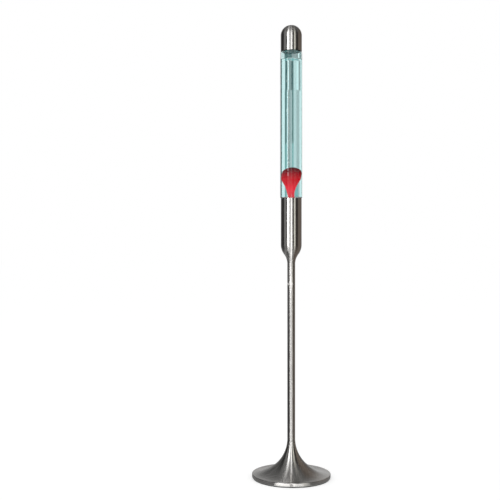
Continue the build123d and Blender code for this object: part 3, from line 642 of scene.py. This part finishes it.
# The cup is spun from stainless steel: an ogee rises from the stem's size to a straight wall with a plain
# mouth, where the bottle stands. A turned cone and a nut inside its funnel clamp it to the stem.
cup_low, cup_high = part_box("cup_shell")
cup_radius = cup_high.x
mouth_round = 0.4 * mm
ogee_height = 56 * mm
ogee_turn = 2 * math.atan((cup_radius - stem_radius) / ogee_height)
ogee_radius = ogee_height / (2 * math.sin(ogee_turn))
ogee_degrees = math.degrees(ogee_turn)
ogee_top = cup_low.z + ogee_height
cup = Template(stem_radius - joint_bevel, cup_low.z)
cup.line(stem_radius, cup_low.z + joint_bevel)
cup.arc(stem_radius + ogee_radius, cup_low.z, ogee_degrees, steps=24)
cup.arc(cup_radius - ogee_radius, ogee_top, -ogee_degrees, steps=24)
cup.line(cup_radius, cup_high.z - mouth_round)
cup.arc(cup_radius - mouth_round, cup_high.z - mouth_round, -90, steps=4)
cup.line(cup_radius - spun_wall + mouth_round, cup_high.z)
cup.arc(cup_radius - spun_wall + mouth_round, cup_high.z - mouth_round, -90, steps=4)
cup.line(cup_radius - spun_wall, ogee_top)
cup.arc(cup_radius - ogee_radius, ogee_top, ogee_degrees, steps=24)
cup.arc(stem_radius + ogee_radius, cup_low.z, -ogee_degrees, steps=24)
cup.close()
make_piece("cup_spun", cup.spin(), steel, "stand", "cup_shell")
give(zinc, "cup_clamp_cone", "cup_clamp_nut", "holder_nipple")

# The lampholder is moulded in black phenolic, in two parts that screw together. It holds a brass sleeve
# for the bulb's screw shell and a sprung brass contact under the bulb's tip.
phenolic = moulded("black_phenolic", (0.008,) * 3, (0.03,) * 3, 0.8 * mm, (0.16, 0.3))
give(phenolic, "lampholder_cap", "lampholder_body")
give(brass, "socket_sleeve", "centre_contact")


# The bulb is a small reflector lamp. Its blown envelope is silvered inside up to the widest part and
# frosted over the front, and a nickel-plated screw shell and a black glass tip close its foot.
bulb_low, bulb_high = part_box("bulb_envelope")
bulb_radius = bulb_high.x
bulb_wall = 0.8 * mm
bulb_neck = 7.4 * mm
bulb_neck_length = 7 * mm
flare_height = 20 * mm
flare_turn = 2 * math.atan((bulb_radius - bulb_neck) / flare_height)
flare_radius = flare_height / (2 * math.sin(flare_turn))
flare_degrees = math.degrees(flare_turn)
flare_low = bulb_low.z + bulb_neck_length
flare_high = flare_low + flare_height
front_height = bulb_high.z - bulb_radius
bulb = Template(bulb_neck, bulb_low.z)
bulb.line(bulb_neck, flare_low)
bulb.arc(bulb_neck + flare_radius, flare_low, flare_degrees, steps=12)
bulb.arc(bulb_radius - flare_radius, flare_high, -flare_degrees, steps=12)
bulb.line(bulb_radius, front_height)
bulb.arc(0, front_height, -90, steps=24)
bulb.line(0, bulb_high.z - bulb_wall)
bulb.arc(0, front_height, 90, steps=24)
bulb.line(bulb_radius - bulb_wall, flare_high)
bulb.arc(bulb_radius - flare_radius, flare_high, flare_degrees, steps=12)
bulb.arc(bulb_neck + flare_radius, flare_low, -flare_degrees, steps=12)
bulb.line(bulb_neck - bulb_wall, bulb_low.z)
bulb.close()
bulb_glass, bulb_tree, bulb_shader = new_finish("silvered_and_frosted", (0.85, 0.85, 0.83), 0.3)
bulb_grain = use_group(bulb_tree, grain, Size=0.5 * mm)
bulb_split = add_node(bulb_tree, "SeparateXYZ")
bulb_places = add_node(bulb_tree, "TexCoord")
silver_fade = 0.6 * mm
silver_edge = add_node(bulb_tree, "MapRange", From_Min=front_height + silver_fade, From_Max=front_height)
bulb_tree.links.new(bulb_places.outputs["Object"], bulb_split.inputs[0])
bulb_tree.links.new(bulb_split.outputs["Z"], silver_edge.inputs["Value"])
bulb_tree.links.new(silver_edge.outputs["Result"], bulb_shader.inputs["Metallic"])
vary(bulb_tree, silver_edge.outputs["Result"], bulb_shader.inputs["Roughness"], 0.4, 0.12)
bulb_tones = ((0.8, 0.8, 0.78), (0.88, 0.88, 0.86))
shade(bulb_tree, bulb_grain.outputs["Clouds"], bulb_shader.inputs["Base Color"], *bulb_tones)
relief(bulb_tree, bulb_grain.outputs["Specks"], bulb_shader, 0.01 * mm)
make_piece("bulb_envelope_blown", bulb.spin(96), bulb_glass, "bulb", "bulb_envelope")
nickel = grained_metal("nickel_plate", (0.62, 0.58, 0.5), (0.76, 0.72, 0.64), 0.8 * mm, (0.15, 0.3))
give(nickel, "bulb_shell")
give(moulded("black_glass", (0.01, 0.01, 0.012), (0.03, 0.03, 0.035), 0.5 * mm, (0.05, 0.12)), "bulb_contact")

# The seat ring is a thin ring of clear silicone, pushed into the cup's mouth. The bottle stands on its
# flange, which keeps glass off steel.
silicone = moulded("silicone", (0.8, 0.9, 0.9), (0.86, 0.95, 0.95), 1 * mm, (0.15, 0.25))
silicone.node_tree.nodes["Principled BSDF"].inputs["Transmission Weight"].default_value = 0.9
give(silicone, "cup_seat_ring", "closure_seal")


# The bottle is blown from clear glass. Its foot is drawn in to drop into the cup, and its shoulder and
# screw neck stand inside the dome cap. Shadows pass through it, so that what it holds is lit.
def clear_filling(name, colour, ior, shine):
    """A clear glass or liquid whose surface lets the lamps' light through, with that share of its shine."""
    made, tree, shader = new_finish(name, colour, 0.0, IOR=ior, Transmission_Weight=1.0)
    shader.inputs["Specular Tint"].default_value = (shine, shine, shine, 1)
    through = add_node(tree, "BsdfTransparent", Color=(*colour, 1))
    look = choose(tree, seen_by(tree, "Is Shadow Ray"), shader.outputs[0], through.outputs[0])
    tree.links.new(look, tree.nodes["Material Output"].inputs["Surface"])
    return made, tree, shader


glass, glass_tree, glass_shader = clear_filling("clear_glass", (0.84, 0.98, 0.98), 1.5, 0.4)
glass_lines = use_group(glass_tree, grain, Size=9 * mm)
relief(glass_tree, glass_lines.outputs["Specks"], glass_shader, 0.02 * mm)
vary(glass_tree, glass_lines.outputs["Clouds"], glass_shader.inputs["Roughness"], 0.0, 0.02)

bottle_low, bottle_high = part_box("bottle_glass")
glass_radius = bottle_high.x
glass_wall = 3 * mm
glass_bore = glass_radius - glass_wall
seat_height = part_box("cup_seat_ring")[1].z
spigot_radius = 27.25 * mm
spigot_bore = spigot_radius - glass_wall
base_thickness = 4 * mm
base_round = 4 * mm
floor_round = base_round - glass_wall / 2
bottle_floor = bottle_low.z + base_thickness
heel_round = 0.6 * mm
step_round = 0.8 * mm
step_thickness = 1.5 * mm
step_floor = seat_height + step_thickness
neck_radius = 13 * mm
neck_fillet = 4 * mm
lip_round = 1 * mm
neck_length = 15 * mm
shoulder_round = 10 * mm
shoulder_reach = glass_radius - shoulder_round
neck_height = bottle_high.z - neck_length
shoulder_height = neck_height - neck_fillet - shoulder_round
bottle = Template(0, bottle_low.z)
bottle.line(spigot_radius - base_round, bottle_low.z)
bottle.arc(spigot_radius - base_round, bottle_low.z + base_round, -90, steps=8)
bottle.line(spigot_radius, seat_height)
bottle.line(glass_radius - heel_round, seat_height)
bottle.arc(glass_radius - heel_round, seat_height + heel_round, -90, steps=8)
bottle.line(glass_radius, shoulder_height)
bottle.arc(shoulder_reach, shoulder_height, -90, steps=16)
bottle.line(neck_radius + neck_fillet, neck_height - neck_fillet)
bottle.arc(neck_radius + neck_fillet, neck_height, 90, steps=8)
bottle.line(neck_radius, bottle_high.z - lip_round)
bottle.arc(neck_radius - lip_round, bottle_high.z - lip_round, -90, steps=6)
bottle.line(neck_radius - glass_wall + lip_round, bottle_high.z)
bottle.arc(neck_radius - glass_wall + lip_round, bottle_high.z - lip_round, -90, steps=6)
bottle.line(neck_radius - glass_wall, neck_height)
bottle.arc(neck_radius + neck_fillet, neck_height, -90, steps=8)
bottle.line(shoulder_reach, shoulder_height + shoulder_round - glass_wall)
bottle.arc(shoulder_reach, shoulder_height, 90, steps=16)
bottle.line(glass_bore, step_floor + step_round)
bottle.arc(glass_bore - step_round, step_floor + step_round, 90, steps=6)
bottle.line(spigot_bore + step_round, step_floor)
bottle.arc(spigot_bore + step_round, step_floor - step_round, -90, steps=6)
bottle.line(spigot_bore, bottle_floor + floor_round)
bottle.arc(spigot_bore - floor_round, bottle_floor + floor_round, 90, steps=6)
bottle.line(0, bottle_floor)
make_piece("bottle_blown", bottle.spin(), glass, "bottle", "bottle_glass")


# The base coil is spring wire wound in a close helix and bent round into a ring. It lies on the bottle's
# floor in the wax, which it stirs and keeps warm.
coil_ring = 17 * mm
coil_radius = 2.3 * mm
wire_radius = 0.55 * mm
coil_gap = 0.1 * mm
coil_turns = 44
turn_points = 12
coil_curve = bpy.data.curves.new("coil", "CURVE")
coil_curve.dimensions = "3D"
coil_curve.bevel_depth = wire_radius
coil_curve.bevel_resolution = 2
coil_line = coil_curve.splines.new("NURBS")
coil_line.points.add(coil_turns * turn_points - 1)
for count, point in enumerate(coil_line.points):
    wound = 2 * math.pi * count / turn_points
    around = wound / coil_turns
    reach = coil_ring + coil_radius * math.cos(wound)
    height = bottle_floor + coil_radius + wire_radius + coil_gap + coil_radius * math.sin(wound)
    point.co = (reach * math.cos(around), reach * math.sin(around), height, 1)
coil_line.use_cyclic_u = True
coil_wire = bpy.data.objects.new("coil", coil_curve)
coil_mesh = bpy.data.meshes.new_from_object(coil_wire)
coil = bmesh.new()
coil.from_mesh(coil_mesh)
bpy.data.objects.remove(coil_wire)
spring = grained_metal("spring_wire", (0.5, 0.5, 0.5), (0.66, 0.66, 0.65), 1 * mm, (0.15, 0.3))
make_piece("base_coil_wound", coil, spring, "bottle", "base_coil")


# The wax is one soft red mass: a pool round the coil, and a balloon that rises from it on a stalk and
# leans a little to one side. Its glow is painted light: an emission, bright and warm low down and dark at the
# crown, that stands in for the bulb shining into it.
wax_top = 88 * mm
crown_radius = 26 * mm
crown_turn = 35.0
belly = 21.7 * mm
belly_band = 9 * mm
taper_radius = 33 * mm
taper_turn = 27.0
stalk = 7.2 * mm
flare_out = 10 * mm
flare_bend = 70.0
pool_dip = 2 * mm
wax_gap = 0.05 * mm
pool_radius = spigot_bore - wax_gap
crown_sine = math.sin(math.radians(crown_turn))
brow_radius = (belly - crown_radius * crown_sine) / (1 - crown_sine)
taper_share = 1 - math.cos(math.radians(taper_turn))
stalk_radius = (belly - stalk) / taper_share - taper_radius
wax_crown = seat_height + wax_top
wax = Template(0, wax_crown)
wax.arc(0, wax_crown - crown_radius, crown_turn, steps=14)
brow_reach = (crown_radius - brow_radius) * crown_sine
brow_drop = crown_radius - (crown_radius - brow_radius) * math.cos(math.radians(crown_turn))
wax.arc(brow_reach, wax_crown - brow_drop, 90 - crown_turn, steps=14)
wax.line(belly, wax.tip.co.z - belly_band)
wax.arc(belly - taper_radius, wax.tip.co.z, taper_turn, steps=10)
bend = math.radians(taper_turn)
bend_centre = wax.tip.co + Vector((stalk_radius * math.cos(bend), 0, -stalk_radius * math.sin(bend)))
wax.arc(bend_centre.x, bend_centre.z, -taper_turn, steps=16)
wax.arc(wax.tip.co.x + flare_out, wax.tip.co.z, -flare_bend, steps=10)
wax.line(pool_radius, wax.tip.co.z - pool_dip)
wax.line(pool_radius, bottle_floor + floor_round)
wax.arc(pool_radius - floor_round, bottle_floor + floor_round, 90, steps=6)
wax.line(0, bottle_floor + wax_gap)
wax_shape = wax.spin(128)
lean_low = seat_height + 14 * mm
lean_middle = seat_height + 46 * mm
lean_back = -1.1 * mm
lean_out = 3.6 * mm


def eased(height, low, high):
    """0 below low, 1 above high, and a smooth step between them."""
    share = min(max((height - low) / (high - low), 0), 1)
    return share * share * (3 - 2 * share)


for vertex in wax_shape.verts:
    vertex.co.x += lean_back * eased(vertex.co.z, seat_height, lean_low)
    vertex.co.x += lean_out * eased(vertex.co.z, lean_middle, wax_crown)
red_wax, wax_tree, wax_shader = new_finish("red_wax", (0.14, 0.0, 0.006), 0.3, IOR=1.1)
# The wax's emission is painted light: a glow by height that stands in for the bulb's light from below
wax_shader.inputs["Emission Strength"].default_value = 1.0
wax_grain = use_group(wax_tree, grain, Size=8 * mm)
wax_tones = ((0.1, 0.0, 0.003), (0.15, 0.0, 0.007))
shade(wax_tree, wax_grain.outputs["Specks"], wax_shader.inputs["Base Color"], *wax_tones)
wax_split = add_node(wax_tree, "SeparateXYZ")
wax_places = add_node(wax_tree, "TexCoord")
wax_painted_glow_height = add_node(wax_tree, "MapRange", From_Min=wax_crown, From_Max=seat_height)
wax_tree.links.new(wax_places.outputs["Object"], wax_split.inputs[0])
wax_tree.links.new(wax_split.outputs["Z"], wax_painted_glow_height.inputs["Value"])
wax_painted_glow_ramp = add_node(wax_tree, "ValToRGB")
wax_painted_glow_ramp.color_ramp.elements[0].color = (0.03, 0.0, 0.0, 1)
wax_painted_glow_ramp.color_ramp.elements[1].color = (0.74, 0.055, 0.07, 1)
for share, red, green, blue in (
    (0.13, 0.11, 0.0, 0.001),
    (0.39, 0.55, 0.0, 0.005),
    (0.52, 0.62, 0.002, 0.01),
    (0.68, 0.9, 0.01, 0.028),
):
    wax_painted_glow_ramp.color_ramp.elements.new(share).color = (red, green, blue, 1)
wax_tree.links.new(wax_painted_glow_height.outputs["Result"], wax_painted_glow_ramp.inputs["Fac"])
wax_tree.links.new(wax_painted_glow_ramp.outputs["Color"], wax_shader.inputs["Emission Color"])
relief(wax_tree, wax_grain.outputs["Specks"], wax_shader, 0.1 * mm)
make_piece("wax_risen", wax_shape, red_wax, "bottle", "wax_body")

# The liquid is water with a little salt and a pale blue-green dye. It fills the bottle round the wax and
# climbs the glass a little at its edge, under a finger's width of air.
wetting = 0.1 * mm
meniscus = 1.8 * mm
meniscus_edge = 0.05 * mm
liquid_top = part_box("lamp_liquid")[1].z - meniscus
wet_bore = glass_bore + wetting
wet_spigot = spigot_bore + wetting
liquid = Template(0, bottle_floor - wetting)
liquid.line(wet_spigot - floor_round, bottle_floor - wetting)
liquid.arc(wet_spigot - floor_round, bottle_floor - wetting + floor_round, -90, steps=6)
liquid.line(wet_spigot, step_floor - wetting - step_round)
liquid.arc(wet_spigot + step_round, step_floor - wetting - step_round, 90, steps=6)
liquid.line(wet_bore - step_round, step_floor - wetting)
liquid.arc(wet_bore - step_round, step_floor - wetting + step_round, -90, steps=6)
liquid.line(wet_bore, liquid_top + meniscus)
liquid.line(glass_bore - meniscus_edge, liquid_top + meniscus)
liquid.arc(glass_bore - meniscus_edge - meniscus, liquid_top + meniscus, 90, steps=8)
liquid.line(0, liquid_top)
dye, dye_tree, dye_shader = clear_filling("dyed_water", (1, 1, 1), 1.34, 0.1)
dye_grain = use_group(dye_tree, grain, Size=12 * mm)
relief(dye_tree, dye_grain.outputs["Specks"], dye_shader, 0.01 * mm)
dye_depth = add_node(dye_tree, "VolumeAbsorption", Color=(0.3, 0.57, 0.57, 1), Density=5.0)
dye_tree.links.new(dye_depth.outputs[0], dye_tree.nodes["Material Output"].inputs["Volume"])
make_piece("dyed_liquid", liquid.spin(), dye, "bottle", "lamp_liquid")


# The closure is a screw cap drawn from tinplate, with a knurled grip round its skirt. It screws down on
# a soft disc that seals the bottle's mouth, and is hidden by the dome cap.
closure_low, closure_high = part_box("bottle_closure")
closure_radius = closure_high.x
closure_wall = 0.6 * mm
knurls = 60
knurl_height = 0.25 * mm
knurl_slope = 0.12 * mm
knurl_foot = 2.2 * mm
knurl_top = 2.5 * mm
closure = Template(0, closure_high.z)
closure.line(closure_radius - closure_wall, closure_high.z)
closure.arc(closure_radius - closure_wall, closure_high.z - closure_wall, 90, steps=6)
closure.line(closure_radius, closure_high.z - knurl_top)
closure.line(closure_radius, closure_low.z + knurl_foot)
closure.line(closure_radius, closure_low.z)
closure.line(closure_radius - closure_wall, closure_low.z)
closure.line(closure_radius - closure_wall, closure_high.z - closure_wall)
closure.line(0, closure_high.z - closure_wall)
closure_shape = closure.spin(2 * knurls)
grip_middle = (closure_high.z - knurl_top + closure_low.z + knurl_foot) / 2


def on_grip(face):
    """True for the faces between the skirt's top and foot, on its outside."""
    middle = face.calc_center_median()
    outside = math.hypot(middle.x, middle.y) > closure_radius - closure_wall / 2
    return outside and abs(middle.z - grip_middle) < 0.1 * mm


def turn_of(face):
    """The face's direction round the lamp's axis."""
    return math.atan2(*face.calc_center_median().xy)


grip = sorted(filter(on_grip, closure_shape.faces), key=turn_of)
bmesh.ops.inset_individual(closure_shape, faces=grip[::2], thickness=knurl_slope, depth=knurl_height)
tinplate = turned_metal("tinplate", (0.62, 0.62, 0.6), (0.75, 0.75, 0.73), 0.8 * mm, (0.18, 0.3), 0.4)
make_piece("closure_knurled", closure_shape, tinplate, "bottle", "bottle_closure")

# The cap liner is a ring moulded in black nylon. It is pressed into the dome cap, rests on the closure
# and centres the cap on its skirt.
give(moulded("black_nylon", (0.012,) * 3, (0.03,) * 3, 0.5 * mm, (0.4, 0.6)), "cap_liner")

# The dome cap is spun from stainless steel: a half sphere on a straight skirt, brushed round like the
# cup, with the skirt's edge turned smooth. Its inside is dull steel with painted light in its colour: a teal
# tone that stands in for the bulb's light coming up through the liquid. It lifts off the bottle by hand.
cap_low, cap_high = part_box("dome_cap")
cap_radius = cap_high.x
cap_wall = 1.0 * mm
cap_edge_round = 0.35 * mm
dome_height = cap_high.z - cap_radius
cap = Template(0, cap_high.z)
cap.arc(0, dome_height, 90, steps=40)
cap.line(cap_radius, cap_low.z + cap_edge_round)
cap.arc(cap_radius - cap_edge_round, cap_low.z + cap_edge_round, 90, steps=3)
cap.line(cap_radius - cap_wall + cap_edge_round, cap_low.z)
cap.arc(cap_radius - cap_wall + cap_edge_round, cap_low.z + cap_edge_round, 90, steps=3)
cap.line(cap_radius - cap_wall, dome_height)
cap.arc(0, dome_height, -90, steps=32)
cap_shape = cap.spin()
for face in cap_shape.faces:
    middle = face.calc_center_median()
    middle.z = max(middle.z - dome_height, 0)
    face.material_index = int(middle.length < cap_radius - cap_wall / 2)
dome_cap = make_piece("dome_cap_spun", cap_shape, steel, "dome", "dome_cap")
# The inside faces get dull steel whose teal colour is painted light from the liquid below, not the steel's
# own tone
teal_painted_light_steel = grained_metal("teal_painted_light_steel", (0.02, 0.07, 0.075), (0.06, 0.17, 0.18), 1 * mm, (0.4, 0.5))
dome_cap.data.materials.append(teal_painted_light_steel)
